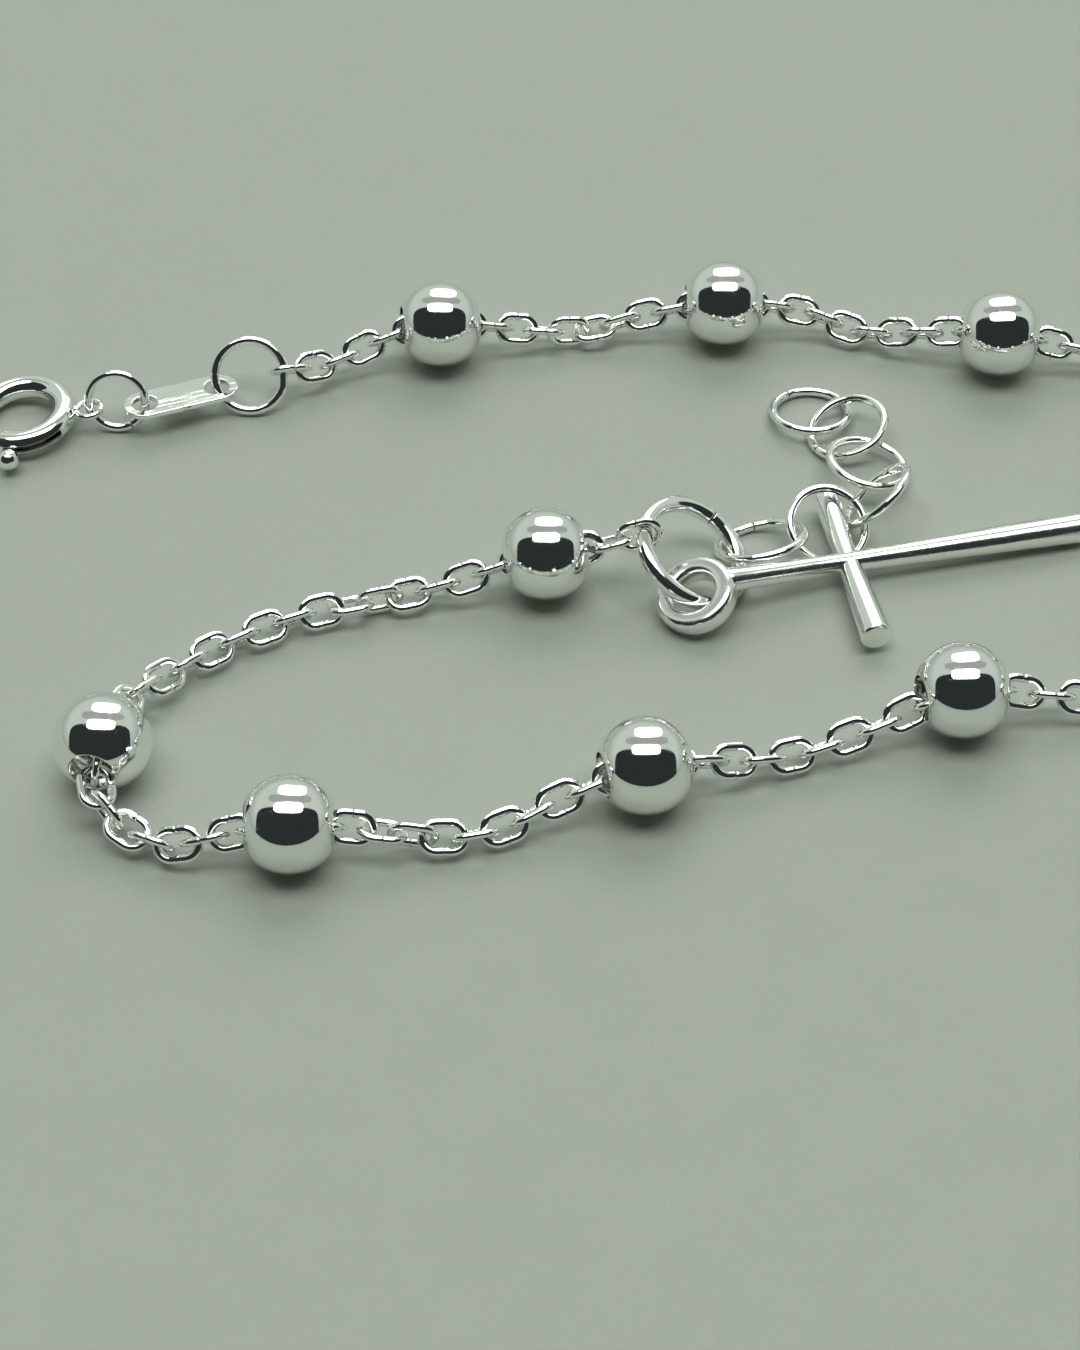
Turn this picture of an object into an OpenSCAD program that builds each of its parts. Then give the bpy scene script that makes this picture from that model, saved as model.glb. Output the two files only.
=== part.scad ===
// Rosary bracelet lying open on a flat surface. Millimetres, +Z up.
// The origin is the middle of its footprint, on the surface.
// The route of the chain runs from the clasp at the upper left, round the far right and back to the cross.

/* [Beads] */
// Outer diameter of a bead
bead_d = 4.0; // [3.8:0.1:4.2]
// Diameter of the hole through a bead
bead_hole_d = 2.0; // [1.9:0.05:2.1]
// Wall thickness of a hollow bead
bead_wall = 0.3; // [0.2:0.05:0.4]

/* [Chain] */
// Outer length of a link
link_l = 2.08; // [2.06:0.01:2.1]
// Outer width of a link
link_w = 1.5; // [1.4:0.02:1.56]
// Wire thickness of a link
link_wire = 0.32; // [0.26:0.01:0.33]

/* [Clasp] */
// Outer diameter of the clasp's round tube
clasp_d = 4.95; // [4.8:0.05:5.1]
// Thickness of the clasp's tube
clasp_tube_d = 1.08; // [1.0:0.02:1.16]
// Wall of the clasp's tube
clasp_wall = 0.14; // [0.1:0.01:0.18]
// Width of the clasp's mouth round the ring, in degrees
mouth_span = 55; // [45:5:60]
// How far the gate slides round when it is open, in degrees
gate_travel = 50; // [40:5:50]
// How far the eye's side of the clasp is lifted, in degrees
clasp_lift = 6; // [3:1:8]

/* [Rings] */
// Outer diameter of an extension ring
extension_d = 3.8; // [3.75:0.01:3.82]
// Wire thickness of an extension ring
extension_wire = 0.4; // [0.34:0.02:0.42]
// Outer diameter of the first extension ring, which holds the thick jump ring
first_extension_d = 4.16; // [4.12:0.01:4.18]
// Outer diameter of the thick jump ring
jump_ring_d = 5.53; // [5.5:0.01:5.55]
// Wire thickness of the thick jump ring
jump_ring_wire = 0.73; // [0.66:0.01:0.75]
// Outer diameter of the clasp's jump ring
clasp_ring_d = 2.95; // [2.9:0.01:3.0]
// Wire thickness of the clasp's jump ring
clasp_ring_wire = 0.4; // [0.34:0.02:0.42]

/* [Tag] */
// Thickness of the tag plate
tag_t = 0.26; // [0.2:0.02:0.28]
// Width of the tag plate
tag_w = 1.92; // [1.86:0.02:1.96]
// Diameter of the hole at each end of the tag plate
tag_hole_d = 1.12; // [1.06:0.02:1.14]

/* [Cross] */
// Outer diameter of the cross's bail
bail_d = 3.5; // [3.45:0.01:3.52]
// Thickness of the bail's band, measured outwards
bail_band = 0.84; // [0.76:0.02:0.86]
// Width of the bail's band, along the bail's axis
bail_w = 1.0; // [0.8:0.02:1.02]
// Thickness of the arms where they cross
cross_waist = 0.84; // [0.76:0.02:0.86]
// Thickness of the foot and of the near arm at their ends
cross_end = 1.34; // [1.2:0.02:1.36]
// Thickness of the far arm, which lies in an extension ring, at its end
cross_far_end = 1.14; // [1.0:0.02:1.16]

/* [Hidden] */

silver = [0.82, 0.83, 0.82];
shade = [0.7, 0.71, 0.7];

// The route and the rings are laid out from a point near the tag, the footprint's middle lies here
middle = [7.97, 7.91, 0];

// Route of the chain, from the D ring to the thick jump ring.
// Columns: x, y, height, 1 at the middle of a bead
route = [
    [-11.33, 19.7, 1.52, 0],
    [-10.1, 20.25, 1.25, 0],
    [-8.9, 20.95, 1.2, 0],
    [-7.05, 21.75, 1.65, 0],
    [-4.58, 22.35, 2.0, 1],
    [-1.0, 22.85, 1.3, 0],
    [2.0, 23.3, 0.85, 0],
    [4.9, 23.75, 1.4, 0],
    [8.47, 23.87, 2.0, 1],
    [12.3, 23.95, 1.4, 0],
    [14.7, 23.25, 0.85, 0],
    [17.1, 22.5, 1.35, 0],
    [21.0, 21.7, 2.0, 1],
    [24.6, 21.4, 1.3, 0],
    [27.5, 20.9, 0.85, 0],
    [31.0, 20.3, 1.4, 0],
    [34.2, 19.0, 2.0, 1],
    [37.0, 16.9, 1.3, 0],
    [38.8, 14.7, 0.85, 0],
    [39.75, 12.0, 1.45, 0],
    [39.72, 8.1, 2.0, 1],
    [39.15, 4.95, 1.4, 0],
    [37.4, 2.35, 0.85, 0],
    [34.6, 0.45, 1.4, 0],
    [30.75, -0.22, 2.0, 1],
    [27.3, -0.5, 1.4, 0],
    [24.2, -0.45, 0.85, 0],
    [20.6, -0.55, 1.4, 0],
    [17.1, -0.88, 2.0, 1],
    [13.6, -2.2, 1.3, 0],
    [10.3, -3.35, 0.85, 0],
    [7.6, -4.15, 1.35, 0],
    [4.15, -5.0, 2.0, 1],
    [0.6, -6.3, 1.35, 0],
    [-1.6, -7.3, 0.88, 0],
    [-3.9, -7.75, 0.88, 0],
    [-6.3, -7.85, 1.4, 0],
    [-9.74, -8.05, 2.0, 1],
    [-12.6, -8.25, 1.5, 0],
    [-14.6, -8.2, 0.95, 0],
    [-16.35, -7.3, 1.0, 0],
    [-17.4, -6.15, 1.7, 0],
    [-17.42, -3.66, 2.0, 1],
    [-16.6, -0.8, 1.55, 0],
    [-15.45, 0.75, 1.1, 0],
    [-13.55, 2.55, 0.85, 0],
    [-11.35, 3.9, 0.85, 0],
    [-9.0, 4.9, 0.85, 0],
    [-5.6, 5.85, 0.85, 0],
    [-3.3, 6.3, 1.25, 0],
    [-2.0, 6.6, 1.6, 0],
    [0.23, 7.11, 2.0, 1],
    [2.2, 7.25, 2.3, 0],
    [4.19, 7.42, 2.83, 0]
];

// Stretches of chain between the D ring, the beads and the thick jump ring.
// Columns: links, pitches, roll of the first even link, roll of the last, where the change is centred
stretches = [
    [6, 6, -45, -45, 0.5],
    [11, 11, -45, 45, 0.5],
    [11, 11, -50, -50, 0.5],
    [11, 11, 45, 45, 0.5],
    [11, 11, -45, -45, 0.5],
    [11, 11, 45, 45, 0.5],
    [11, 11, -45, 45, 0.3],
    [11, 11, -45, -20, 0.8],
    [12, 12, 45, 135, 0.7],
    [10, 10, -45, 10, 0.6],
    [18, 18, 35, 130, 0.64],
    [4, 3, 130, 180, 0.5]
];

// Extension rings from the thick jump ring to the free end, each leans away from level.
// Columns: x, y, height, direction of the lean, angle of the lean
extension = [
    [9.5, 8.95, 1.01, 119, 25],
    [12.42, 9.87, 1.08, -66, 30],
    [14.63, 11.3, 1.5, 157, 48],
    [14.46, 14.01, 0.93, 28, 13],
    [13.76, 16.55, 0.83, -164, 20],
    [12.24, 18.0, 0.51, 86, 9]
];

jump_ring_place = [6.47, 7.51, 1.68, -21, 32];
bail_place = [6.59, 5.47, 1.12, -149, 26];
clasp_place = [-23.3, 17.5, 0.75] - middle;
clasp_ring_place = [-19.0, 17.66, 1.42, -90, 70];
d_ring_place = [-13.13, 19.35, 1.47, -90, 50];

// Points of the cross, in the middle of its arms
cross_middle = [13.15, 7.7, 0.95] - middle;
cross_foot = [23.5, 10.15, 0.7] - middle;
cross_left = [12.45, 11.9, 0.95] - middle;
cross_right = [14.05, 3.15, 0.95] - middle;

// Samples in each step of the route
steps = 8;
fine = 48;

function curve(a, b, c, d, t) =
    0.5 * (2 * b + (c - a) * t + (2 * a - 5 * b + 4 * c - d) * t * t + (3 * b - a - 3 * c + d) * t * t * t);

function row(i) = route[max(0, min(len(route) - 1, i))];

function spot(i) = [row(i)[0], row(i)[1], row(i)[2]] - middle;

last_row = len(route) - 1;

path = [
    for (i = [0:last_row - 1], j = [0:steps - 1])
        curve(spot(i - 1), spot(i), spot(i + 1), spot(i + 2), j / steps),
    spot(last_row)
];

function lengths(i, sum) =
    i == len(path) - 1 ? [sum] : concat([sum], lengths(i + 1, sum + norm(path[i + 1] - path[i])));

run = lengths(0, 0);
table_x = [for (i = [0:len(path) - 1]) [run[i], path[i][0]]];
table_y = [for (i = [0:len(path) - 1]) [run[i], path[i][1]]];
table_z = [for (i = [0:len(path) - 1]) [run[i], path[i][2]]];

function at(s) = [lookup(s, table_x), lookup(s, table_y), lookup(s, table_z)];

// Lengths along the route at its start, at each bead and at its end
stops = [
    0,
    for (i = [0:last_row]) if (row(i)[3] == 1) run[i * steps],
    run[last_row * steps]
];

// The chain is drawn this far through the last bead
drawn_through = 0.25;

// Length along the route at which stretch k starts
function link_stop(k) = stops[k] + (k == len(stretches) - 1 ? drawn_through : 0);

function unit(v) = v / norm(v);

// Direction of the chain, taken across half a link each way
function heading(s) = unit(at(s + link_l / 4) - at(s - link_l / 4));

// Frame at a place on the route: x runs along the chain, z is turned about it from upright by the roll
function frame_at(p, x, roll) =
    let (up = unit([0, 0, 1] - x * x[2]))
    let (side = cross(x, up))
    let (z = cos(roll) * up + sin(roll) * side)
    let (y = cross(z, x))
    [
        [x[0], y[0], z[0], p[0]],
        [x[1], y[1], z[1], p[1]],
        [x[2], y[2], z[2], p[2]],
        [0, 0, 0, 1]
    ];

// Links over which a change of roll is spread
turn_links = 4;

// Share of the change of roll that is done at link i of n
function turned(i, n, centre) = max(0, min(1, (i - centre * n) / turn_links + 0.5));

function roll_of(k, i) =
    let (s = stretches[k])
    s[2] + (s[3] - s[2]) * turned(i, s[0], s[4]) + (i % 2 == 0 ? 0 : 90);

module link() {
    bend = (link_w - link_wire) / 2;
    half_run = (link_l - link_wire) / 2 - bend;
    for (side = [-1, 1])
        translate([0, side * bend, 0])
            rotate([0, 90, 0])
                cylinder(d = link_wire, h = 2 * half_run, center = true, $fn = 24);
    for (turn = [0, 180])
        rotate([0, 0, turn])
            translate([half_run, 0, 0])
                rotate([0, 0, -90])
                    rotate_extrude(angle = 180, $fn = 36)
                        translate([bend, 0])
                            circle(d = link_wire, $fn = 24);
}

// Links of stretch k, the first one sits at the start of the stretch
module chain(k) {
    start = link_stop(k);
    pitch = (link_stop(k + 1) - start) / stretches[k][1];
    color(silver)
        for (i = [0:stretches[k][0] - 1])
            multmatrix(frame_at(at(start + i * pitch), heading(start + i * pitch), roll_of(k, i)))
                link();
}

// Hollow bead with the chain's hole along x
module bead_shell() {
    rotate([0, 90, 0])
        difference() {
            sphere(d = bead_d, $fn = fine);
            sphere(d = bead_d - 2 * bead_wall, $fn = fine);
            cylinder(d = bead_hole_d, h = bead_d + 1, center = true, $fn = fine);
        }
}

// Bead number k along the route, counted from 1
module bead(k) {
    color(silver)
        multmatrix(frame_at(at(stops[k]), heading(stops[k]), 0))
            bead_shell();
}

module hoop(d, wire) {
    rotate_extrude($fn = fine)
        translate([(d - wire) / 2, 0])
            circle(d = wire, $fn = 24);
}

function middle_of(place) = [place[0], place[1], place[2]] - middle;

// Axis of a ring at a place
function axis_of(place) =
    [sin(place[4]) * cos(place[3]), sin(place[4]) * sin(place[3]), cos(place[4])];

// Puts a level ring at a place, leaning toward the place's direction
module leaning(place) {
    translate(middle_of(place))
        rotate([0, place[4], place[3]])
            children();
}

module extension_ring(i) {
    color(i == 0 ? shade : silver)
        leaning(extension[i])
            hoop(i == 0 ? first_extension_d : extension_d, extension_wire);
}

module jump_ring() {
    color(shade)
        leaning(jump_ring_place)
            hoop(jump_ring_d, jump_ring_wire);
}

module clasp_jump_ring() {
    color(shade)
        leaning(clasp_ring_place)
            hoop(clasp_ring_d, clasp_ring_wire);
}

d_ring_d = 3.6;
d_ring_wire = 0.42;
// Distance from the D ring's middle to the middle of its straight wire
d_ring_flat = 1.5;
d_ring_corner = 0.5;

// Ring whose right side is a straight wire with rounded corners
module d_ring() {
    r = (d_ring_d - d_ring_wire) / 2;
    corner_x = d_ring_flat - d_ring_corner;
    corner_y = sqrt(pow(r - d_ring_corner, 2) - corner_x * corner_x);
    meet = atan2(corner_y, corner_x);
    color(silver)
        leaning(d_ring_place)
            rotate([0, 0, 90]) {
                arc(r, d_ring_wire, meet, 360 - meet);
                translate([d_ring_flat, 0, 0])
                    rotate([90, 0, 0])
                        cylinder(d = d_ring_wire, h = 2 * corner_y, center = true, $fn = 24);
                for (side = [0, 1])
                    mirror([0, side, 0]) {
                        translate([corner_x, corner_y, 0])
                            arc(d_ring_corner, d_ring_wire, 0, meet);
                        for (joint = [[d_ring_flat, corner_y, 0], r * [cos(meet), sin(meet), 0]])
                            translate(joint)
                                sphere(d = d_ring_wire + 0.01, $fn = 24);
                    }
            }
}

// Middles of the tag's two holes
tag_left = [-17.75, 17.66, 1.15] - middle;
tag_right = [-14.62, 18.94, 1.05] - middle;
// Lean of the tag's face away from the viewer
tag_lean = -2;

module tag_plate() {
    along = tag_right - tag_left;
    span = norm(along);
    end_r = tag_w / 2;
    color(silver)
        multmatrix(frame_at((tag_left + tag_right) / 2, unit(along), tag_lean))
            difference() {
                union() {
                    cube([span, tag_w, tag_t], center = true);
                    for (side = [-1, 1])
                        translate([side * span / 2, 0, 0])
                            cylinder(r = end_r, h = tag_t, center = true, $fn = fine);
                }
                for (side = [-1, 1])
                    translate([side * span / 2, 0, 0])
                        cylinder(d = tag_hole_d, h = tag_t + 1, center = true, $fn = fine);
            }
}

clasp_r = (clasp_d - clasp_tube_d) / 2;
gate_wire = clasp_tube_d - 2 * clasp_wall - 0.2;
// The mouth ends here, and the gate's knob rests here when closed, in degrees round the clasp
mouth_end = 250;
knob_rest = 265;
tip_rest = mouth_end - mouth_span - 5;
tail_rest = knob_rest + 9;
slot_w = 0.36;
knob_d = 0.95;
eye_d = 1.4;
eye_wire = 0.3;
// How far the eye is soldered into the tube's wall
eye_sunk = 0.12;

module clasp_frame() {
    translate(clasp_place)
        rotate([0, -clasp_lift, 0])
            children();
}

// Part of a ring of round wire, from one direction to another
module arc(r, wire, from, to) {
    rotate([0, 0, from])
        rotate_extrude(angle = to - from, $fn = fine)
            translate([r, 0])
                circle(d = wire, $fn = 24);
}

module clasp_body() {
    slot_from = knob_rest - 8;
    slot_to = knob_rest + gate_travel + 8;
    color(silver)
        clasp_frame() {
            difference() {
                arc(clasp_r, clasp_tube_d, mouth_end, mouth_end - mouth_span + 360);
                arc(clasp_r, clasp_tube_d - 2 * clasp_wall, mouth_end - 1, mouth_end - mouth_span + 361);
                rotate([0, 0, slot_from])
                    rotate_extrude(angle = slot_to - slot_from, $fn = fine)
                        translate([clasp_r, -slot_w / 2])
                            square([clasp_tube_d, slot_w]);
            }
            translate([(clasp_d + eye_d) / 2 - eye_sunk, 0, 0])
                hoop(eye_d, eye_wire);
        }
}

module clasp_gate() {
    stalk = clasp_tube_d / 2 + 0.2;
    color(shade)
        clasp_frame() {
            arc(clasp_r, gate_wire, tip_rest, tail_rest);
            rotate([0, 0, knob_rest])
                translate([clasp_r, 0, 0])
                    rotate([0, 90, 0]) {
                        cylinder(d = 0.24, h = stalk, $fn = 24);
                        translate([0, 0, stalk + knob_d / 2 - 0.12])
                            sphere(d = knob_d, $fn = 32);
                    }
        }
}

// Arm of the cross from a to b, thicker at b, with a softened end
module arm(a, b, start_d, end_d) {
    v = b - a;
    tip = 0.1;
    translate(a)
        rotate([0, acos(v[2] / norm(v)), atan2(v[1], v[0])]) {
            cylinder(d1 = start_d, d2 = end_d, h = norm(v) - tip, $fn = 32);
            translate([0, 0, norm(v) - tip])
                cylinder(d1 = end_d, d2 = end_d - 2 * tip, h = tip, $fn = 32);
        }
}

module cross() {
    band_r = (bail_d - bail_band) / 2;
    soft = 0.3;
    // Thickness of the arm where it meets the bail
    root_d = 0.92;
    axis = axis_of(bail_place);
    toward = cross_middle - middle_of(bail_place);
    root = middle_of(bail_place) + band_r * unit(toward - axis * (toward * axis));
    color(silver) {
        leaning(bail_place)
            rotate_extrude($fn = fine)
                translate([band_r, 0]) {
                    square([bail_band - 2 * soft, bail_w], center = true);
                    square([bail_band, bail_w - 2 * soft], center = true);
                    for (x = [-1, 1], y = [-1, 1])
                        translate([x * (bail_band / 2 - soft), y * (bail_w / 2 - soft)])
                            circle(r = soft, $fn = 24);
                }
        arm(cross_middle, root, cross_waist, root_d);
        arm(cross_middle, cross_foot, cross_waist, cross_end);
        arm(cross_middle, cross_left, cross_waist, cross_far_end);
        arm(cross_middle, cross_right, cross_waist, cross_end);
        translate(cross_middle)
            sphere(d = cross_waist + 0.04, $fn = 32);
    }
}

clasp_body();
clasp_gate();
clasp_jump_ring();
tag_plate();
d_ring();
chain(0);  // chain_01
bead(1);  // bead_01
chain(1);  // chain_02
bead(2);  // bead_02
chain(2);  // chain_03
bead(3);  // bead_03
chain(3);  // chain_04
bead(4);  // bead_04
chain(4);  // chain_05
bead(5);  // bead_05
chain(5);  // chain_06
bead(6);  // bead_06
chain(6);  // chain_07
bead(7);  // bead_07
chain(7);  // chain_08
bead(8);  // bead_08
chain(8);  // chain_09
bead(9);  // bead_09
chain(9);  // chain_10
bead(10);  // bead_10
chain(10);  // chain_11
bead(11);  // our_father_bead
chain(11);  // chain_12
jump_ring();
cross();
extension_ring(0);  // extension_ring_1
extension_ring(1);  // extension_ring_2
extension_ring(2);  // extension_ring_3
extension_ring(3);  // extension_ring_4
extension_ring(4);  // extension_ring_5
extension_ring(5);  // extension_ring_6
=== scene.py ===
"""Dresses the rosary bracelet: each silver piece, the surface it lies on, its light and its camera."""

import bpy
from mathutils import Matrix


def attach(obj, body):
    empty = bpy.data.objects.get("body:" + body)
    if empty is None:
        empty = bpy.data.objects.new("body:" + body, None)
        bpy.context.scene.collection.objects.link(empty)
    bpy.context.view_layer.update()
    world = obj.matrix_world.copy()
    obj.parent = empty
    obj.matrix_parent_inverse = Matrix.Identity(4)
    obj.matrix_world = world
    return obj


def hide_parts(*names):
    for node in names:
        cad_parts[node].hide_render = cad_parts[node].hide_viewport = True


bl_info = {
    "name": "Rosary Bracelet",
    "version": (1, 0, 0),
    "blender": (4, 5, 0),
    "location": "3D View > Sidebar > Bracelet",
    "description": "Makes the polished silver pieces of a rosary bracelet on its CAD frame",
    "category": "Object",
}

import bpy
import numpy as np
from bpy.props import FloatProperty, FloatVectorProperty, PointerProperty
from bpy.types import Operator, Panel, PropertyGroup

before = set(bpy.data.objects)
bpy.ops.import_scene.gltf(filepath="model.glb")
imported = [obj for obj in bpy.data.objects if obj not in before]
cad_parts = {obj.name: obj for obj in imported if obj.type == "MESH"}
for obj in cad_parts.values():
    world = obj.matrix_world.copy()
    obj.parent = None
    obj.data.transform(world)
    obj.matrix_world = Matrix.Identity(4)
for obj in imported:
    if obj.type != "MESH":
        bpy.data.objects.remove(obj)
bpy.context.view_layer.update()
MM = 0.001
TURN = 2 * np.pi

CHAINS = [f"chain_{i:02d}" for i in range(1, 13)]
BEADS = [f"bead_{i:02d}" for i in range(1, 11)] + ["our_father_bead"]

# Directions, in the row frame, in which the cut of each ring's wire faces
CUTS = {
    "extension_ring_1": (-0.2, 1.0, 0.1),
    "extension_ring_2": (0.9, 1.0, 0.2),
    "extension_ring_3": (-1.0, 0.4, 0.0),
    "extension_ring_4": (1.0, -0.3, 0.1),
    "extension_ring_5": (-1.0, -0.6, 0.1),
    "extension_ring_6": (-0.7, 1.0, 0.1),
    "jump_ring": (0.5, 0.9, 0.2),
    "clasp_jump_ring": (0.3, -1.0, -0.2),
}

# Radius of the clasp to the middle of its tube, in which the gate's wire slides
CLASP_RADIUS = 1.935 * MM

# The camera's place and tilt, and the two directions of its picture that the cards are laid out by
CAMERA_PLACE = (-7.97, -92.87, 89.97)
CAMERA_TILT = 44
CAMERA_LENS = 80.2
TO_CAMERA = np.array((0.0, -0.695, 0.719))
PICTURE_UP = np.array((0.0, 0.719, 0.695))


# Sizes and finishes that a user may change


class BeadLook(PropertyGroup):
    hole: FloatProperty(name="Hole", description="Diameter of the hole", default=1.86 * MM, unit="LENGTH")
    wall: FloatProperty(name="Wall", description="Thickness of the shell", default=0.3 * MM, unit="LENGTH")
    lip: FloatProperty(
        name="Lip", description="Rounding of the hole's edge", default=0.06 * MM, unit="LENGTH"
    )


class WireLook(PropertyGroup):
    cut_width: FloatProperty(
        name="Cut width", description="Width of the cut across a ring's wire",
        default=0.03 * MM, unit="LENGTH",
    )
    cut_depth: FloatProperty(
        name="Cut depth", description="Depth of the cut, as a share of the wire",
        default=0.3, subtype="FACTOR",
    )
    solder_depth: FloatProperty(
        name="Solder depth", description="Depth of a link's soldered seam", default=0.1, subtype="FACTOR"
    )


class SilverLook(PropertyGroup):
    colour: FloatVectorProperty(
        name="Silver", description="Colour of clean silver", default=(0.96, 0.97, 0.95), subtype="COLOR"
    )
    tarnish: FloatVectorProperty(
        name="Tarnish", description="Colour of silver left in grooves",
        default=(0.2, 0.19, 0.165), subtype="COLOR",
    )
    polish: FloatProperty(
        name="Roughness", description="Roughness of the polish", default=0.045, subtype="FACTOR"
    )


class StageLook(PropertyGroup):
    surface: FloatVectorProperty(
        name="Surface", description="Colour of the pale surface", default=(0.43, 0.465, 0.42), subtype="COLOR"
    )
    room: FloatProperty(
        name="Room light", description="Brightness of the room", default=0.57, subtype="FACTOR"
    )
    lamp: FloatProperty(name="Lamp", description="Brightness of the lamp overhead", default=4.0)
    window: FloatProperty(name="Window", description="Brightness of the window behind", default=2.5)


# Measuring the CAD nodes


def solids_of(node):
    """The separate solids of a CAD node, each as (points, triangles). Points in one place count once,
    and each point takes the lowest number that it reaches through triangles, so one number marks one
    solid."""
    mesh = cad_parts[node].data
    spots = np.empty(len(mesh.vertices) * 3, np.float32)
    mesh.vertices.foreach_get("co", spots)
    corners = np.empty(len(mesh.loops), np.int32)
    mesh.loops.foreach_get("vertex_index", corners)
    points, same = np.unique(spots.reshape(-1, 3).astype(float).round(7), axis=0, return_inverse=True)
    triangles = same.reshape(-1)[corners].reshape(-1, 3)
    label = np.arange(len(points))
    while True:
        lowest = np.repeat(label[triangles].min(axis=1), 3)
        reached = label.copy()
        np.minimum.at(reached, triangles.reshape(-1), lowest)
        reached = reached[reached]
        if (reached == label).all():
            break
        label = reached
    return [(points, triangles[label[triangles[:, 0]] == mark]) for mark in np.unique(label[triangles[:, 0]])]


def measured(points, triangles):
    """Middle, axes and sizes of a solid. The axes are those of its surface's spread, the least spread
    first, and the middle is halfway between the solid's ends along each axis."""
    corners = points[triangles]
    area = np.linalg.norm(np.cross(corners[:, 1] - corners[:, 0], corners[:, 2] - corners[:, 0]), axis=1)
    centres = corners.mean(axis=1)
    centre = np.average(centres, axis=0, weights=area)
    away = centres - centre
    axes = np.linalg.eigh((away.T * area) @ away)[1].T
    axes[2] *= np.sign(axes[2] @ (1.0, 0.31, 0.17))
    axes[0] *= np.sign(axes[0] @ (0.05, 0.11, 1.0))
    axes[1] = np.cross(axes[2], axes[0])
    along = (corners.reshape(-1, 3) - centre) @ axes.T
    low, high = along.min(axis=0), along.max(axis=0)
    return centre + (low + high) / 2 @ axes, axes, high - low


# Surfaces on a grid


def unit(v):
    """Directions of length one."""
    return v / np.linalg.norm(v, axis=-1, keepdims=True)


def cells(rows, columns, rows_close=True, columns_close=True):
    """Four-sided faces of a grid of points, numbered row by row. A side that closes joins its last line
    of points to its first."""
    r = np.arange(rows if rows_close else rows - 1)[:, None]
    c = np.arange(columns if columns_close else columns - 1)[None, :]
    next_r, next_c = (r + 1) % rows, (c + 1) % columns
    faces = [r * columns + c, r * columns + next_c, next_r * columns + next_c, next_r * columns + c]
    return np.stack([f + 0 * r + 0 * c for f in faces], axis=-1).reshape(-1, 4)


def carried(path, side, up, profile):
    """A profile carried along a path: each point is the path's point, plus the profile's first number
    along side, plus its second along up."""
    return path[:, None] + profile[..., :1] * side[:, None] + profile[..., 1:] * up[:, None]


def round_profile(radii, count):
    """Circles of the given radii, with count points each."""
    a = np.arange(count) * TURN / count
    return radii[:, None, None] * np.stack([np.cos(a), np.sin(a)], axis=-1)


def crowded(count, strength):
    """Numbers from 0 to 1 that crowd round 0: t less strength times the sine of a turn of t, over a
    turn."""
    t = np.arange(count) / count
    return t - strength * np.sin(TURN * t) / TURN


def turned(profile, middle, axis, across, count):
    """A profile of (along, out) turned about an axis: each point is the middle, plus along times the
    axis, plus out times the direction at its angle round the axis."""
    a = (np.arange(count) * TURN / count)[:, None]
    around = np.cos(a) * across + np.sin(a) * np.cross(axis, across)
    return middle + profile[None, :, :1] * axis + profile[None, :, 1:] * around[:, None]


def merged(points, faces, worn):
    """Points in one place become one, and a face with two corners in one place becomes a triangle. The
    faces are turned round if the volume that they close comes out below nought."""
    _, first, same = np.unique(points.round(9), axis=0, return_index=True, return_inverse=True)
    faces = same.reshape(-1)[faces]
    points, worn = points[first], worn[first]
    for k in range(3):
        twice = faces[:, k] == faces[:, k + 1]
        faces[twice] = np.roll(faces[twice], -k - 1, axis=1)
    twice = faces[:, 3] == faces[:, 0]
    corners = points[faces]
    volume = (corners[:, 0] * np.cross(corners[:, 1], corners[:, 2])).sum()
    volume += (corners[:, 0] * np.cross(corners[:, 2], corners[:, 3])).sum()
    if volume < 0:
        faces = faces[:, ::-1]
        twice = faces[:, 3] == faces[:, 0]
    return points, faces, worn, twice


def make_piece(name, shells, finish, node, body="bracelet", sharp=50):
    """A mesh of one or more shells. Each shell is (points, faces) or (points, faces, worn), and worn is
    1 in a groove, where polish doesn't reach, and 0 elsewhere."""
    all_points, all_faces, all_worn, start = [], [], [], 0
    for shell in shells:
        points, faces = shell[0].reshape(-1, 3), shell[1]
        worn = shell[2].reshape(-1) if len(shell) > 2 else np.zeros(len(points))
        points, faces, worn, twice = merged(points, faces, worn)
        all_faces += (faces[~twice] + start).tolist() + (faces[twice][:, :3] + start).tolist()
        all_points.append(points)
        all_worn.append(worn)
        start += len(points)
    mesh = bpy.data.meshes.new(name)
    mesh.from_pydata(np.concatenate(all_points).tolist(), [], all_faces)
    mesh.attributes.new("worn", "FLOAT", "POINT").data.foreach_set(
        "value", np.concatenate(all_worn).astype(np.float32)
    )
    mesh.polygons.foreach_set("use_smooth", np.ones(len(mesh.polygons), bool))
    mesh.set_sharp_from_angle(angle=np.radians(sharp))
    mesh.materials.append(finish)
    if mesh.validate():
        raise RuntimeError(f"{name} had faces that had to be taken out")
    piece = bpy.data.objects.new(name, mesh)
    bpy.context.scene.collection.objects.link(piece)
    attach(piece, body)
    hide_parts(node)
    return piece


def leaning(middle, direction, angle):
    """Middle and axes of a level ring that leans toward a direction by an angle, in degrees. The third
    axis is the ring's own."""
    a, t = np.radians([direction, angle])
    x = np.array([np.cos(t) * np.cos(a), np.cos(t) * np.sin(a), -np.sin(t)])
    y = np.array([-np.sin(a), np.cos(a), 0.0])
    return np.array(middle) * MM, x, y, np.cross(x, y)


# Node groups that several finishes share


def group(name, inputs, outputs):
    """An empty shader group with its inputs and outputs."""
    tree = bpy.data.node_groups.new(name, "ShaderNodeTree")
    for label, kind, value in inputs:
        socket = tree.interface.new_socket(label, in_out="INPUT", socket_type=kind)
        if value is not None:
            socket.default_value = value
    for label, kind in outputs:
        tree.interface.new_socket(label, in_out="OUTPUT", socket_type=kind)
    start = tree.nodes.new("NodeGroupInput")
    end = tree.nodes.new("NodeGroupOutput")
    start.location, end.location = (-900, 0), (700, 0)
    return tree, start, end


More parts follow.
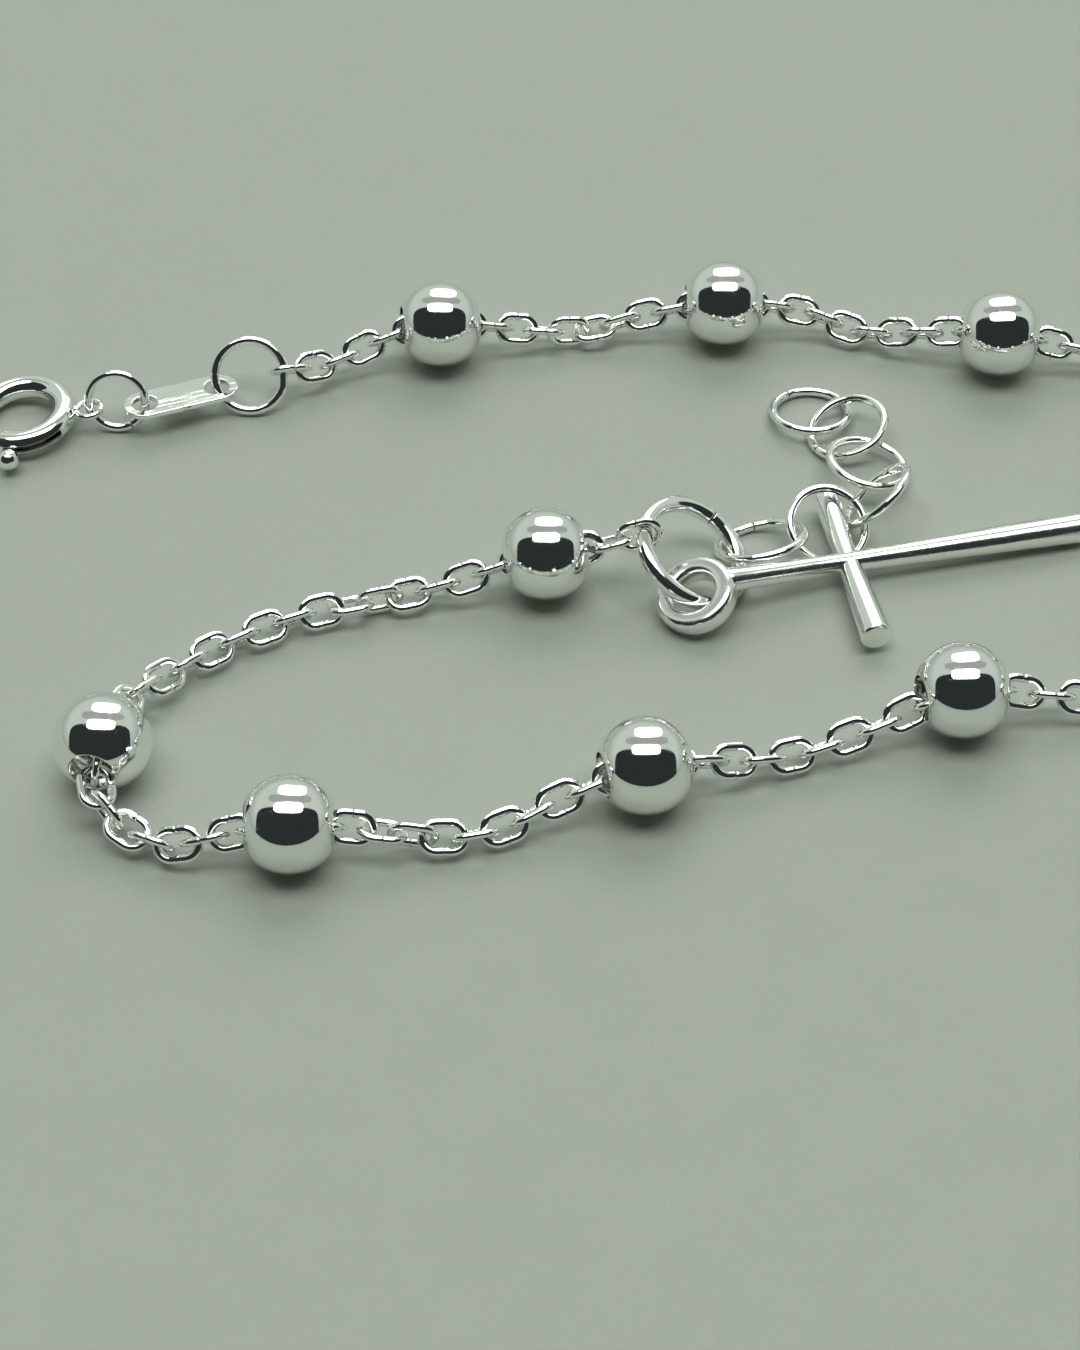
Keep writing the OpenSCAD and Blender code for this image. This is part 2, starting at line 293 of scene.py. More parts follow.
def put(tree, kind, place, settings=(), values=(), links=()):
    """A node with its settings, socket values and incoming links, each link as (socket, from socket)."""
    made = tree.nodes.new(kind)
    made.location = place
    for key, value in dict(settings).items():
        setattr(made, key, value)
    for key, value in dict(values).items():
        made.inputs[key].default_value = value
    for key, source in dict(links).items():
        tree.links.new(source, made.inputs[key])
    return made


def math_node(tree, place, operation, first, second):
    """One operation on two values, where each is a socket or a number."""
    made = put(tree, "ShaderNodeMath", place, {"operation": operation})
    for key, term in enumerate((first, second)):
        if isinstance(term, (int, float)):
            made.inputs[key].default_value = term
        else:
            tree.links.new(term, made.inputs[key])
    return made.outputs[0]


def waves_group():
    """Slight unevenness of hand polishing: two sizes of soft noise added up."""
    tree, start, end = group(
        "Polishing waves",
        [("Vector", "NodeSocketVector", None), ("Scale", "NodeSocketFloat", 500.0)],
        [("Height", "NodeSocketFloat")],
    )
    broad = put(tree, "ShaderNodeTexNoise", (-500, 150), {}, {"Detail": 1.0}, {
        "Vector": start.outputs["Vector"], "Scale": start.outputs["Scale"],
    })
    closer = math_node(tree, (-700, -150), "MULTIPLY", start.outputs["Scale"], 3.7)
    small = put(tree, "ShaderNodeTexNoise", (-500, -150), {}, {"Detail": 0.0}, {
        "Vector": start.outputs["Vector"], "Scale": closer,
    })
    faint = math_node(tree, (-250, -150), "MULTIPLY", small.outputs["Fac"], 0.12)
    both = math_node(tree, (0, 0), "ADD", broad.outputs["Fac"], faint)
    tree.links.new(both, end.inputs["Height"])
    return tree


def scratches_group():
    """Hairlines of wear: noise drawn out along two directions, kept only where it peaks."""
    tree, start, end = group(
        "Fine scratches",
        [("Vector", "NodeSocketVector", None), ("Scale", "NodeSocketFloat", 900.0)],
        [("Mask", "NodeSocketFloat")],
    )
    peaks = []
    directions = (((0.3, 0.5, 0.6), (1.0, 17.0, 9.0)), ((0.9, -0.4, -0.9), (13.0, 1.0, 8.0)))
    for row, (turn, stretch) in enumerate(directions):
        level = 200 - 400 * row
        spun = put(tree, "ShaderNodeMapping", (-650, level), {}, {
            "Rotation": turn, "Scale": stretch,
        }, {"Vector": start.outputs["Vector"]})
        drawn = put(tree, "ShaderNodeTexNoise", (-400, level), {}, {"Detail": 2.0, "Roughness": 0.6}, {
            "Vector": spun.outputs[0], "Scale": start.outputs["Scale"],
        })
        peak = put(tree, "ShaderNodeMapRange", (-150, level), {"clamp": True}, {
            "From Min": 0.63, "From Max": 0.7, "To Min": 0.0, "To Max": 1.0,
        }, {"Value": drawn.outputs["Fac"]})
        peaks.append(peak.outputs[0])
    both = math_node(tree, (150, 0), "MAXIMUM", peaks[0], peaks[1])
    tree.links.new(both, end.inputs["Mask"])
    return tree


def tarnish_group():
    """Where silver has dulled: all of a groove, and a thin cloud elsewhere where broad noise is high."""
    tree, start, end = group(
        "Tarnish",
        [
            ("Vector", "NodeSocketVector", None),
            ("Groove", "NodeSocketFloat", 0.0),
            ("Scale", "NodeSocketFloat", 300.0),
            ("Cloud", "NodeSocketFloat", 0.05),
        ],
        [("Mask", "NodeSocketFloat")],
    )
    patch = put(tree, "ShaderNodeTexNoise", (-600, 100), {}, {"Detail": 5.0, "Roughness": 0.65}, {
        "Vector": start.outputs["Vector"], "Scale": start.outputs["Scale"],
    })
    high = put(tree, "ShaderNodeMapRange", (-350, 100), {"clamp": True}, {
        "From Min": 0.45, "From Max": 0.75, "To Min": 0.0, "To Max": 1.0,
    }, {"Value": patch.outputs["Fac"]})
    cloud = math_node(tree, (-100, 100), "MULTIPLY", high.outputs[0], start.outputs["Cloud"])
    most = math_node(tree, (150, 0), "MAXIMUM", cloud, start.outputs["Groove"])
    tree.links.new(most, end.inputs["Mask"])
    return tree


def haze_group():
    """Roughness of the polish: it rises from Low to High where noise of two sizes is high, and in
    scratches."""
    tree, start, end = group(
        "Polish haze",
        [
            ("Vector", "NodeSocketVector", None),
            ("Scale", "NodeSocketFloat", 600.0),
            ("Low", "NodeSocketFloat", 0.04),
            ("High", "NodeSocketFloat", 0.09),
            ("Extra", "NodeSocketFloat", 0.0),
        ],
        [("Roughness", "NodeSocketFloat")],
    )
    cloud = put(tree, "ShaderNodeTexNoise", (-600, 100), {}, {"Detail": 4.0}, {
        "Vector": start.outputs["Vector"], "Scale": start.outputs["Scale"],
    })
    level = put(tree, "ShaderNodeMapRange", (-300, 100), {"clamp": True}, {
        "From Min": 0.35, "From Max": 0.7,
    }, {
        "Value": cloud.outputs["Fac"], "To Min": start.outputs["Low"], "To Max": start.outputs["High"],
    })
    total = math_node(tree, (0, 0), "ADD", level.outputs[0], start.outputs["Extra"])
    tree.links.new(total, end.inputs["Roughness"])
    return tree


GROUPS = {}


def shared(name):
    """The node group of that name, made when it is first asked for."""
    makers = {
        "waves": waves_group,
        "scratches": scratches_group,
        "tarnish": tarnish_group,
        "haze": haze_group,
    }
    if name not in GROUPS:
        GROUPS[name] = makers[name]()
    return GROUPS[name]


def silver(
    name, waves=450.0, wave_height=4e-6, scratch=900.0, scratch_share=0.03, cloud=0.05, soft=0.0, haze=0.04,
    brushed=None,
):
    """Polished silver. Waves and scratches go to the bump, tarnish to the colour, and soft and haze to
    the roughness. A brushed piece also has lines along a level direction, given in degrees."""
    if name in bpy.data.materials:
        return bpy.data.materials[name]
    look = bpy.context.scene.bracelet_silver
    finish = bpy.data.materials.new(name)
    finish.use_nodes = True
    tree = finish.node_tree
    shader = tree.nodes["Principled BSDF"]
    shader.inputs["Metallic"].default_value = 1.0
    where = put(tree, "ShaderNodeTexCoord", (-1200, 0)).outputs["Object"]
    worn = put(tree, "ShaderNodeAttribute", (-1200, -300), {"attribute_name": "worn"}).outputs["Fac"]
    wave = put(tree, "ShaderNodeGroup", (-900, -500), {"node_tree": shared("waves")}, {"Scale": waves}, {
        "Vector": where,
    })
    lines = put(tree, "ShaderNodeGroup", (-900, -250), {"node_tree": shared("scratches")}, {
        "Scale": scratch,
    }, {"Vector": where})
    dull = put(tree, "ShaderNodeGroup", (-900, 250), {"node_tree": shared("tarnish")}, {"Cloud": cloud}, {
        "Vector": where, "Groove": worn,
    })
    tint = put(tree, "ShaderNodeMix", (-500, 250), {"data_type": "RGBA"}, {}, {
        "Factor": dull.outputs["Mask"],
    })
    tint.inputs[6].default_value = (*look.colour, 1.0)
    tint.inputs[7].default_value = (*look.tarnish, 1.0)
    rougher = math_node(tree, (-650, -50), "MULTIPLY", lines.outputs["Mask"], 0.1)
    worn_rough = math_node(tree, (-650, 50), "MULTIPLY", dull.outputs["Mask"], 0.3)
    extra = math_node(tree, (-500, 0), "ADD", rougher, worn_rough)
    level = put(tree, "ShaderNodeGroup", (-350, 0), {"node_tree": shared("haze")}, {
        "Low": look.polish + soft, "High": look.polish + soft + haze,
    }, {"Vector": where, "Extra": extra})
    cut = math_node(tree, (-650, -300), "MULTIPLY", lines.outputs["Mask"], -scratch_share)
    height = math_node(tree, (-450, -400), "ADD", wave.outputs["Height"], cut)
    if brushed is not None:
        along = put(tree, "ShaderNodeMapping", (-1100, -700), {"vector_type": "TEXTURE"}, {
            "Rotation": (0.0, 0.0, np.radians(brushed)), "Scale": (9.0, 1.0, 9.0),
        }, {"Vector": where})
        grain = put(tree, "ShaderNodeGroup", (-900, -700), {"node_tree": shared("waves")}, {
            "Scale": 4200.0,
        }, {"Vector": along.outputs[0]})
        height = math_node(tree, (-350, -500), "ADD", height, grain.outputs["Height"])
    bump = put(tree, "ShaderNodeBump", (-250, -400), {}, {"Strength": 1.0, "Distance": wave_height}, {
        "Height": height,
    })
    tree.links.new(tint.outputs[2], shader.inputs["Base Color"])
    tree.links.new(level.outputs["Roughness"], shader.inputs["Roughness"])
    tree.links.new(bump.outputs["Normal"], shader.inputs["Normal"])
    return finish


# The chain


def link_shell(middle, axes, size, solder_depth):
    """A link: a circle of the wire's size carried round two straight sides and two half turns. Both the
    turn of the circle and the place of the half turns' middle come from the length run so far, held
    between the ends of each stretch. The wire is slightly flattened, so the circle is wider in the
    link's plane and reaches further in. It is thinner where the link's ends were soldered, at the
    middle of one side."""
    steps, sides, crowding, seam_width = 64, 20, 0.72, 0.04 * MM
    wider, further_in = 1.16, 0.07
    wire, width, length = size / 2
    bend = width - wire
    half = length - width
    whole = 4 * half + TURN * bend
    s = crowded(steps, crowding) * whole
    arc = np.pi * bend
    angle = np.pi * (0.5 + np.clip((s - half) / arc, 0, 1) + np.clip((s - 3 * half - arc) / arc, 0, 1))
    x = -np.clip(s, 0, half) + np.clip(s - half - arc, 0, 2 * half) - np.clip(s - 3 * half - 2 * arc, 0, half)
    out = np.cos(angle)[:, None] * axes[2] + np.sin(angle)[:, None] * axes[1]
    path = middle + x[:, None] * axes[2] + bend * out
    gap = np.minimum(s, whole - s) / seam_width
    seam = np.exp(-gap * gap)
    ring = round_profile(wire * (1 - solder_depth * seam), sides)
    ring = ring * (wider, 1.0) - (further_in * wire, 0.0)
    points = carried(path, out, np.broadcast_to(axes[0], out.shape), ring)
    return points, cells(steps, sides), np.repeat(seam[:, None] * 0.5, sides, axis=1)


class BRACELET_OT_chain(Operator):
    """Make the links of the twelve stretches of chain"""

    bl_idname = "bracelet.chain"
    bl_label = "Chain"

    def execute(self, context):
        finish = silver("Chain silver", waves=900.0, wave_height=2.5e-6, cloud=0.08, haze=0.05)
        depth = context.scene.bracelet_wire.solder_depth
        for node in CHAINS:
            links = []
            for i, solid in enumerate(solids_of(node)):
                middle, axes, size = measured(*solid)
                if i % 2:
                    axes = np.stack([axes[0], -axes[1], -axes[2]])
                links.append(link_shell(middle, axes, size, depth))
            make_piece(f"{node}_links", links, finish, node)
        return {"FINISHED"}


# The beads


def bend_between(start, corner, end, count):
    """Points of a smooth bend: each is the start, corner and end weighted by the squares and the
    product of the shares run and left."""
    t = np.linspace(0, 1, count)[:, None]
    return (1 - t) ** 2 * np.array(start) + 2 * t * (1 - t) * np.array(corner) + t**2 * np.array(end)


def bead_profile(radius, hole, wall, lip):
    """Half section of the hollow bead as (along, out): outer arc, soft lip, side of the hole, and inner
    arc."""
    inner = radius - wall
    open_out = np.sqrt(radius**2 - hole**2)
    open_in = np.sqrt(inner**2 - hole**2)
    a = np.arcsin(hole / radius) + lip / radius
    b = np.arcsin(hole / inner) + lip / 2 / inner
    outer = np.linspace(a, np.pi - a, 64)
    back = np.linspace(np.pi - b, b, 28)
    outer_arc = radius * np.stack([np.cos(outer), np.sin(outer)], axis=1)
    inner_arc = inner * np.stack([np.cos(back), np.sin(back)], axis=1)
    left_lip = bend_between(outer_arc[-1], (-open_out, hole), (-open_out + lip, hole), 8)
    left_in = bend_between((-open_in - lip / 2, hole), (-open_in, hole), inner_arc[0], 5)
    right_in = left_in[::-1] * (-1, 1)
    right_lip = left_lip[::-1] * (-1, 1)
    return np.concatenate([outer_arc, left_lip[1:], left_in, inner_arc[1:-1], right_in, right_lip[:-1]])


class BRACELET_OT_beads(Operator):
    """Make the ten decade beads and the single one"""

    bl_idname = "bracelet.beads"
    bl_label = "Beads"

    def execute(self, context):
        look, steps = context.scene.bracelet_bead, 96
        finish = silver("Bead silver", waves=330.0, wave_height=7e-6, scratch=500.0, cloud=0.03, haze=0.03)
        for node in BEADS:
            points, triangles = solids_of(node)[0]
            middle, axes, size = measured(points, triangles)
            profile = bead_profile(size[1] / 2, look.hole / 2, look.wall, look.lip)
            shell = turned(profile, middle, axes[0], axes[1], steps)
            depth = np.clip((look.hole / 2 + look.lip - profile[:, 1]) / look.lip, 0, 1)
            inside = np.hypot(profile[:, 0], profile[:, 1]) < size[1] / 2 - look.wall / 2
            worn = np.broadcast_to(0.1 * depth + 0.2 * inside, shell.shape[:2])
            faces = cells(steps, len(profile))
            make_piece(f"{node}_shell", [(shell, faces, worn)], finish, node)
        return {"FINISHED"}


# The rings


def hoop_shell(middle, axis, toward, radius, wire, look):
    """A ring of round wire, radius to the middle of the wire: a circle carried round a circle. The wire
    dips in a narrow bell curve where it was cut, in the direction toward."""
    steps, sides, crowding = 160, 32, 0.88
    start = unit(toward - axis * (toward @ axis))
    a = crowded(steps, crowding)[:, None] * TURN
    out = np.cos(a) * start + np.sin(a) * np.cross(axis, start)
    gap = radius * np.minimum(a, TURN - a)[:, 0] / look.cut_width
    seam = np.exp(-gap * gap)
    ring = round_profile(wire / 2 * (1 - look.cut_depth * seam), sides)
    points = carried(middle + radius * out, out, np.broadcast_to(axis, out.shape), ring)
    return points, cells(steps, sides), np.repeat(seam[:, None], sides, axis=1)


class BRACELET_OT_rings(Operator):
    """Make the thick jump ring, the clasp's jump ring and the six extension rings"""

    bl_idname = "bracelet.rings"
    bl_label = "Rings"

    def execute(self, context):
        finish = silver("Ring silver", waves=600.0, wave_height=3e-6, cloud=0.07, haze=0.04)
        look = context.scene.bracelet_wire
        for node, toward in CUTS.items():
            points, triangles = solids_of(node)[0]
            middle, axes, size = measured(points, triangles)
            shell = hoop_shell(middle, axes[0], np.array(toward), (size[1] - size[0]) / 2, size[0], look)
            make_piece(f"{node}_wire", [shell], finish, node)
        return {"FINISHED"}


def d_path(radius, flat, corner):
    """Path of the D ring, as points and outward directions in its plane: a long arc, a corner arc, the
    straight side and the other corner arc, each a circle's arc or a line, run against the clock."""
    x = flat - corner
    y = np.sqrt((radius - corner) ** 2 - x * x)
    meet = np.arctan2(y, x)
    long = np.linspace(meet, TURN - meet, 100)[:-1]
    low = np.linspace(-meet, 0, 8)[:-1]
    high = np.linspace(0, meet, 8)[:-1]
    rise = np.linspace(-y, y, 12)[:-1]
    angle = np.concatenate([long, low, 0 * rise, high])
    out = np.stack([np.cos(angle), np.sin(angle)], axis=1)
    reach = np.concatenate([radius + 0 * long, corner + 0 * low, corner + 0 * rise, corner + 0 * high])
    centre = np.concatenate([
        np.zeros((len(long), 2)),
        np.tile([x, -y], (len(low), 1)),
        np.stack([x + 0 * rise, rise], axis=1),
        np.tile([x, y], (len(high), 1)),
    ])
    return centre + reach[:, None] * out, out


class BRACELET_OT_d_ring(Operator):
    """Make the ring with one straight side, between the tag and the chain"""

    bl_idname = "bracelet.d_ring"
    bl_label = "D ring"

    def execute(self, context):
        finish = silver("Ring silver")
        place, direction, lean = (-21.10, 11.44, 1.47), -90, 50
        wire, radius, flat, corner = 0.42 * MM, 1.59 * MM, 1.5 * MM, 0.5 * MM
        seam_step, seam_width, seam_depth, sides = 50, 0.6, 0.12, 32
        middle, x, y, axis = leaning(place, direction, lean)
        flat_path, flat_out = d_path(radius, flat, corner)
        path = middle + flat_path[:, :1] * y - flat_path[:, 1:] * x
        out = flat_out[:, :1] * y - flat_out[:, 1:] * x
        run = np.arange(len(path)) - seam_step
        seam = np.exp(-((run / seam_width) ** 2))
        ring = round_profile(wire / 2 * (1 - seam_depth * seam), sides)
        points = carried(path, out, np.broadcast_to(axis, out.shape), ring)
        shell = points, cells(len(path), sides), np.repeat(0.5 * seam[:, None], sides, axis=1)
        make_piece("d_ring_wire", [shell], finish, "d_ring")
        return {"FINISHED"}


# The tag


def tag_half(span, half_width, hole, thick, soft):
    """Right half of the tag as a shell round its hole, open at the tag's middle. Each ray from the
    hole's middle meets the plate's edge: a half circle beyond the hole and the plate's sides before it,
    down to the middle line. Along a ray, the section goes up the hole's wall, out over the top and back
    under the plate, and its corners are quarter circles. The plate rises by a shallow ridge along its
    middle."""
    count, ridge = 5, 0.03 * MM
    reach = span / 2
    first = np.arctan2(half_width, -reach)
    side = np.linspace(np.pi / 2, first, 14)
    angle = np.concatenate([np.linspace(-np.pi / 2, np.pi / 2, 61)[:-1], side[:-1]])
    middle_line = np.linspace(first, TURN - first, 21)
    angle = np.concatenate([angle, middle_line, (-side[::-1] + TURN)[1:-1]])
    c, s = np.cos(angle), np.sin(angle)
    far = np.full(angle.shape, half_width)
    with np.errstate(divide="ignore"):
        to_side = half_width / np.abs(s)
        to_middle = reach / np.abs(c)
    far = np.where(c < 0, np.minimum(to_side, np.where(c < -1e-9, to_middle, np.inf)), far)
    at_middle = (c < 0) & (to_middle <= to_side + 1e-12)
    quarter = np.linspace(0, np.pi / 2, count)
    rise, fall = 1 - np.sin(quarter), 1 - np.cos(quarter)
    turn_in = np.stack([hole + soft * rise, thick - soft * fall], axis=1)[::-1]
    t = np.linspace(0, 1, 14)[1:-1]
    edge = np.stack([-soft * fall, thick - soft * rise], axis=1)[::-1]
    inner = np.tile(turn_in[None], (len(angle), 1, 1))
    outer = np.stack([far[:, None] + edge[None, :, 0], np.tile(edge[:, 1], (len(angle), 1))], axis=-1)
    outer[at_middle] = np.stack(
        [np.tile(far[at_middle][:, None], (1, count)), np.full((at_middle.sum(), count), thick)], axis=-1
    )
    start, end = inner[:, -1:], outer[:, :1]
    flat = start + t[None, :, None] * (end - start)
    top = np.concatenate([inner, flat, outer], axis=1)
    bottom = top[:, ::-1] * (1, -1)
    section = np.concatenate([top, bottom], axis=1)
    x = reach + section[..., 0] * c[:, None]
    y = section[..., 0] * s[:, None]
    z = section[..., 1] - ridge * np.abs(y) / half_width * np.sign(section[..., 1]) * 0.5
    faces = cells(len(angle), section.shape[1])
    ray, place = faces // section.shape[1], faces % section.shape[1]
    wall = (place.min(axis=1) >= top.shape[1] - count) & (place.max(axis=1) < top.shape[1] + count)
    faces = faces[~(wall & at_middle[ray].all(axis=1))]
    return np.stack([x, y, z], axis=-1).reshape(-1, 3), faces


class BRACELET_OT_tag(Operator):
    """Make the blank tag with a hole at each end"""

    bl_idname = "bracelet.tag"
    bl_label = "Tag"

    def execute(self, context):
        finish = silver("Tag silver", waves=300.0, wave_height=6e-6, scratch=700.0, haze=0.08, brushed=22)
        left = np.array((-25.72, 9.75, 1.15)) * MM
        right = np.array((-22.59, 11.03, 1.05)) * MM
        along = unit(right - left)
        up = unit(np.array((0, 0, 1.0)) - along * along[2])
        half_width, hole, half_thick, soft = 0.96 * MM, 0.56 * MM, 0.13 * MM, 0.05 * MM
        lean = np.radians(-5)
        z = np.cos(lean) * up + np.sin(lean) * np.cross(along, up)
        y = np.cross(z, along)
        half, faces = tag_half(np.linalg.norm(right - left), half_width, hole, half_thick, soft)
        other = half * (-1, 1, 1)
        flat = np.concatenate([half, other])
        all_faces = np.concatenate([faces, faces[:, ::-1] + len(half)])
        points = (left + right) / 2 + flat[:, :1] * along + flat[:, 1:2] * y + flat[:, 2:] * z
        make_piece("tag_plate_silver", [(points, all_faces)], finish, "tag_plate", sharp=40)
        return {"FINISHED"}


# The cross and its bail


def smooth_line(points, count):
    """A line from the first of three points to the last, with a soft bend at the middle one: a
    quadratic bend over the nearest share of each leg, and the rest of each leg straight."""
    bent_share = 0.3
    p = np.array(points) * MM
    a, b = p[1] + (p[0] - p[1]) * bent_share, p[1] + (p[2] - p[1]) * bent_share
    first = p[0] + np.linspace(0, 1, count)[:-1, None] * (a - p[0])
    bent = bend_between(a, p[1], b, count)
    last = b + np.linspace(0, 1, count)[1:, None] * (p[2] - b)
    return np.concatenate([first, bent, last])


def bar_shell(path, radii, soft, count=112):
    """A round bar: circles carried along a path, closed at both ends by a soft rim and a flat face."""
    along = unit(np.gradient(path, axis=0))
    side = unit(np.cross((0, 0, 1.0), along))
    up = np.cross(along, side)
    b = np.linspace(0, np.pi / 2, 6)
    inward = np.array([0.93, 0.6, 0.3, 0.0])
    cap = len(b) + len(inward)

    def end(k, way):
        rim = radii[k] - soft * (1 - np.cos(b))
        face = rim[-1] * inward
        spot = path[k] - way * along[k] * soft * (1 - np.sin(b))[:, None]
        flat = np.tile(path[k], (len(inward), 1))
        return np.concatenate([spot, flat]), np.concatenate([rim, face])

    def held(v):
        return np.concatenate([np.tile(v[0], (cap, 1)), v[keep], np.tile(v[-1], (cap, 1))])

    start_path, start_radii = end(0, -1)
    end_path, end_radii = end(-1, 1)
    steps = np.linalg.norm(np.diff(path, axis=0), axis=1).cumsum()
    inside = np.concatenate([[0], steps])
    keep = (inside > 2 * soft) & (inside < inside[-1] - 2 * soft)
    line = np.concatenate([start_path[::-1], path[keep], end_path])
    sizes = np.concatenate([start_radii[::-1], radii[keep], end_radii])
    points = carried(line, held(side), held(up), round_profile(sizes, count))
    return points, cells(len(line), count, rows_close=False)


def flared(path, waist_at, waist, ends, power):
    """Radii along a bar: the waist's at the crossing, growing to the end's by a power of the share
    run."""
    run = np.concatenate([[0], np.linalg.norm(np.diff(path, axis=0), axis=1).cumsum()])
    at = run[np.linalg.norm(path - waist_at, axis=1).argmin()]
    back = np.clip((at - run) / at, 0, 1)
    ahead = np.clip((run - at) / (run[-1] - at), 0, 1)
    return waist + (ends[0] - waist) * back**power + (ends[1] - waist) * ahead**power


class BRACELET_OT_cross(Operator):
    """Make the cross with its thick bail"""

    bl_idname = "bracelet.cross"
    bl_label = "Cross"

    def execute(self, context):
        finish = silver(
            "Cross silver", waves=260.0, wave_height=9e-6, scratch=500.0, cloud=0.03, soft=0.1, haze=0.06
        )
        crossing, foot = (5.18, -0.21, 0.95), (15.53, 2.24, 0.7)
        far_arm, near_arm = (4.48, 3.99, 0.95), (6.08, -4.76, 0.95)
        bail_place, bail_direction, bail_lean = (-1.38, -2.44, 1.12), -149, 26
        band, out, half_width, square = 1.33 * MM, 0.42 * MM, 0.5 * MM, 0.62
        waist, soft, root_reach, root_swell = 0.45 * MM, 0.15 * MM, 0.8 * MM, 0.05 * MM
        sides, steps = 40, 160
        middle, x, y, axis = leaning(bail_place, bail_direction, bail_lean)
        a = np.arange(sides) * TURN / sides
        c, s = np.cos(a), np.sin(a)
        section = np.stack([
            half_width * np.sign(s) * np.abs(s) ** square,
            band + out * np.sign(c) * np.abs(c) ** square,
        ], axis=1)
        bail = turned(section, middle, axis, x, steps), cells(steps, sides)
        spot = np.array(crossing) * MM
        toward = spot - middle
        root = middle + band * unit(toward - axis * (toward @ axis))
        long_path = smooth_line([root / MM, crossing, foot], 40)
        short_path = smooth_line([far_arm, crossing, near_arm], 40)
        long_radii = flared(long_path, spot, waist, (0.49 * MM, 0.68 * MM), 1.0)
        short_radii = flared(short_path, spot, waist, (0.59 * MM, 0.68 * MM), 0.8)
        far = np.linalg.norm(long_path - long_path[0], axis=1) / root_reach
        long_radii += root_swell * np.exp(-far * far)
        bars = [bar_shell(long_path, long_radii, soft), bar_shell(short_path, short_radii, soft)]
        make_piece("cross_silver", [bail] + bars, finish, "cross", sharp=60)
        return {"FINISHED"}


# The clasp


def clasp_axes():
    """Middle and axes of the clasp, which leans a little on its eye's side."""
    return leaning((-31.27, 9.59, 0.75), 0, -6)


def walled(points, faces, inner):
    """A thin wall: the faces, the same faces on the inner points turned round, and a strip along each
    open edge between the two. An open edge is one that no face runs the other way."""
    count = len(points)
    edges = np.stack([faces, np.roll(faces, -1, axis=1)], axis=-1).reshape(-1, 2)
    there, back = edges[:, 0] * count + edges[:, 1], edges[:, 1] * count + edges[:, 0]
    rim = edges[~np.isin(back, there)]
    strip = np.stack([rim[:, 1], rim[:, 0], rim[:, 0] + count, rim[:, 1] + count], axis=1)
    return np.concatenate([points, inner]), np.concatenate([faces, faces[:, ::-1] + count, strip])


class BRACELET_OT_clasp(Operator):
    """Make the clasp's hollow round tube, with its slot and its eye"""

    bl_idname = "bracelet.clasp"
    bl_label = "Clasp body"

    def execute(self, context):
        finish = silver("Clasp silver", waves=420.0, wave_height=5e-6, scratch=700.0, cloud=0.05, haze=0.05)
        middle, x, y, axis = clasp_axes()
        tube, wall, slot = 0.54 * MM, 0.14 * MM, 0.18 * MM
        eye_out, eye_radius, eye_wire, collar_out = 3.055 * MM, 0.55 * MM, 0.3 * MM, 2.36 * MM
        nose, slot_start, slot_end, tail = 250, 257, 323, 555
        before, along, across = 5, 37, 7
        a = np.radians(np.concatenate([
            np.linspace(nose, slot_start, before),
            np.linspace(slot_start, slot_end, along)[1:],
            np.linspace(slot_end, tail, 121)[1:],
        ]))
        edge = np.arcsin(slot / tube)
        b = np.concatenate([np.linspace(-edge, edge, across), np.linspace(edge, TURN - edge, 38)[1:-1]])
        out = np.cos(a)[:, None] * x + np.sin(a)[:, None] * y
        path = middle + CLASP_RADIUS * out
        up = np.broadcast_to(axis, out.shape)
        ring = np.stack([np.cos(b), np.sin(b)], axis=1)[None]
        outer = carried(path, out, up, tube * ring).reshape(-1, 3)
        inner = carried(path, out, up, (tube - wall) * ring).reshape(-1, 3)
        faces = cells(len(a), len(b), rows_close=False)
        row, column = faces // len(b), faces % len(b)
        in_slot = (row.min(axis=1) >= before - 1) & (row.max(axis=1) <= before + along - 2)
        in_slot &= column.max(axis=1) < across
        kept = faces[~in_slot]
        shell = walled(outer, kept, inner)
        rim = np.isin(np.arange(2 * len(outer)), shell[1][len(kept) * 2:])
        worn = np.concatenate([np.zeros(len(outer)), np.full(len(outer), 0.5)]) + 0.25 * rim
        look = context.scene.bracelet_wire
        eye = hoop_shell(middle + eye_out * x, axis, x + 0.6 * y, eye_radius, eye_wire, look)
        solder = np.array([
            (0, 0), (0, 0.24), (0.12, 0.235), (0.2, 0.2), (0.27, 0.16), (0.32, 0.1), (0.32, 0),
        ]) * MM
        collar_points = turned(solder, middle + collar_out * x, x, y, 32)
        collar = collar_points, cells(32, len(solder), columns_close=False)
        shells = [(*shell, worn), eye, collar]
        body = make_piece("clasp_tube", shells, finish, "clasp_body", sharp=35)
        soften = body.modifiers.new("Softened edges", "BEVEL")
        soften.width = 0.02 * MM
        soften.segments = 2
        soften.limit_method = "ANGLE"
        soften.angle_limit = np.radians(50)
        return {"FINISHED"}


